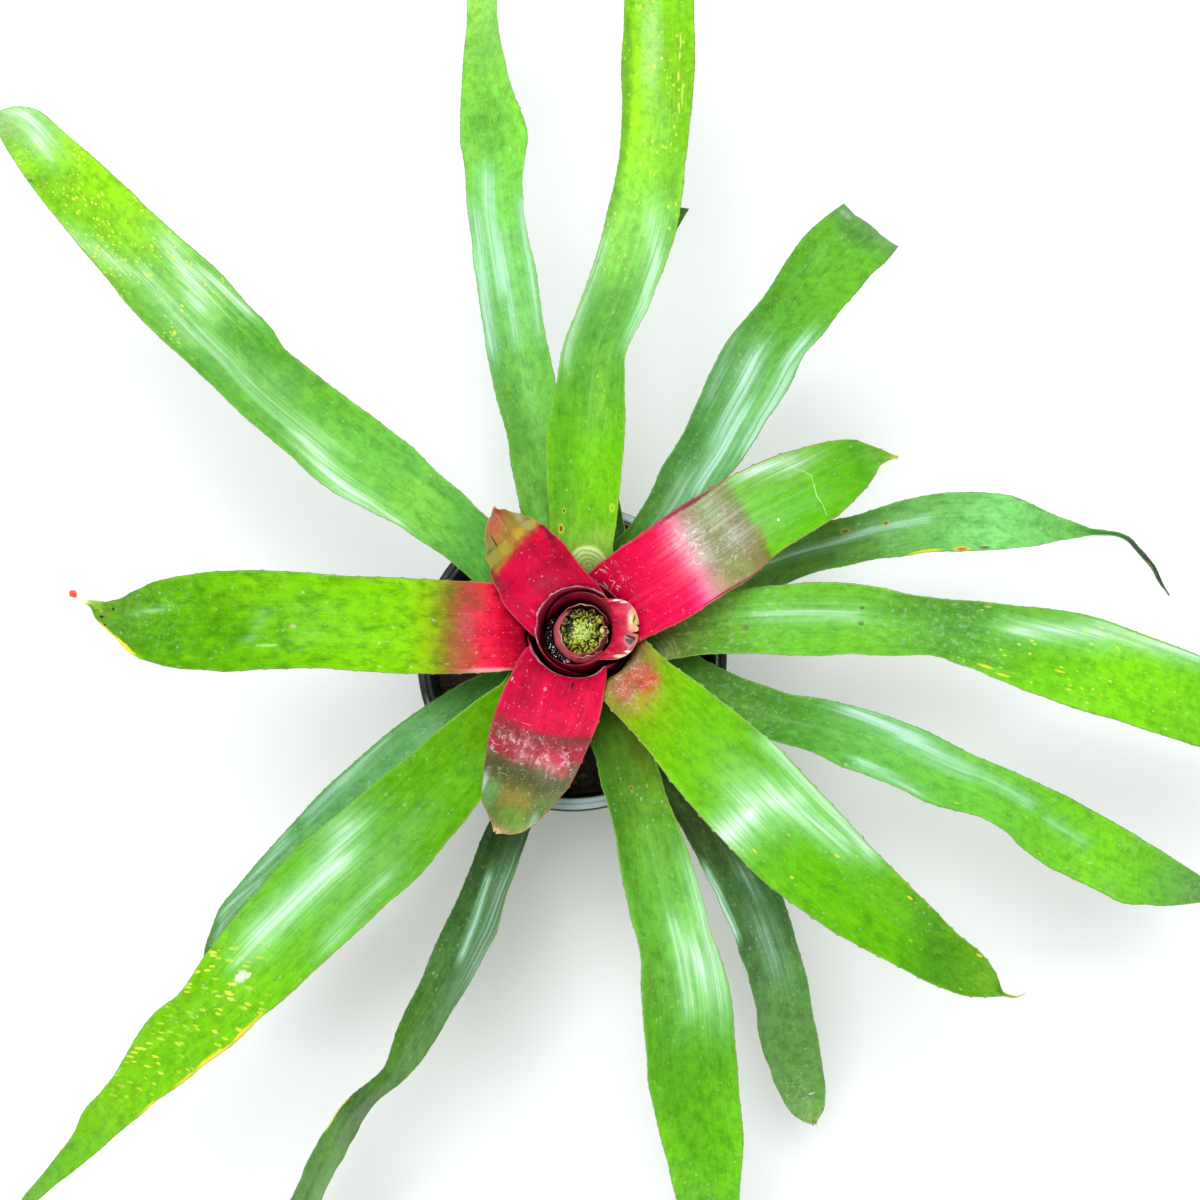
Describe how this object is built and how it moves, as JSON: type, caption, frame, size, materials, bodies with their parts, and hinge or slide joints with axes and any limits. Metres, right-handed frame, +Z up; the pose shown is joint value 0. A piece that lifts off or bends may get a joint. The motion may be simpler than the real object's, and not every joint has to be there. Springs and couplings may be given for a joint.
{
  "type": "neoregelia bromeliad in a pot",
  "caption": "Potted bromeliad: a flat rosette of long strap leaves around a water-holding cup with a sunken flower head, its inner leaves red, in a plain round nursery pot.",
  "frame": {"origin": "centre of the underside of the pot, where it stands", "axes": "+Z up, +X to the right and +Y to the back, so the long twisted leaves point towards +Y and the short red leaf towards -Y"},
  "size_m": [0.6574, 0.7651, 0.2413],
  "materials": {
    "leaf_red_and_green": "smooth glossy leaf, crimson at the base turning olive and bright green towards the tip, fine lengthwise veins",
    "leaf_bright_green": "smooth glossy yellow-green leaf with fine lengthwise veins, pale scurf specks and small yellow dashes",
    "leaf_dark_green": "smooth glossy deep green leaf with pale scurf specks",
    "bract": "thin satin pink-red bract",
    "flower_head": "matt yellow-green buds with olive sepals",
    "stem": "matt fibrous green-brown",
    "wet_litter": "wet black crumbs",
    "potting_mix": "coarse dark brown bark and peat, rough",
    "pot_plastic": "black injection-moulded plastic, satin"
  },
  "bodies": {
    "root": {"leaf_cup_curled": "leaf_red_and_green", "leaf_inner_upper_left": "leaf_red_and_green", "leaf_inner_lower": "leaf_red_and_green", "leaf_inner_upper_right": "leaf_red_and_green", "leaf_inner_left": "leaf_red_and_green", "leaf_inner_lower_right": "leaf_red_and_green", "leaf_outer_back": "leaf_bright_green", "leaf_outer_front_left": "leaf_bright_green", "leaf_outer_back_left": "leaf_bright_green", "leaf_outer_right": "leaf_bright_green", "leaf_outer_front": "leaf_bright_green", "leaf_outer_back_right_trimmed": "leaf_bright_green", "leaf_outer_back_twisted": "leaf_bright_green", "leaf_outer_right_front": "leaf_dark_green", "leaf_lower_front_left": "leaf_dark_green", "leaf_lower_right_tapered": "leaf_dark_green", "leaf_lower_front_right": "leaf_dark_green", "leaf_lower_front_folded": "leaf_dark_green", "leaf_lower_back_small": "leaf_dark_green", "pot": "pot_plastic", "potting_mix": "potting_mix", "stem": "stem", "bract_left": "bract", "bract_right": "bract", "bract_back": "bract", "bract_front": "bract", "flower_head": "flower_head", "cup_litter": "wet_litter"}
  },
  "joints": []
}
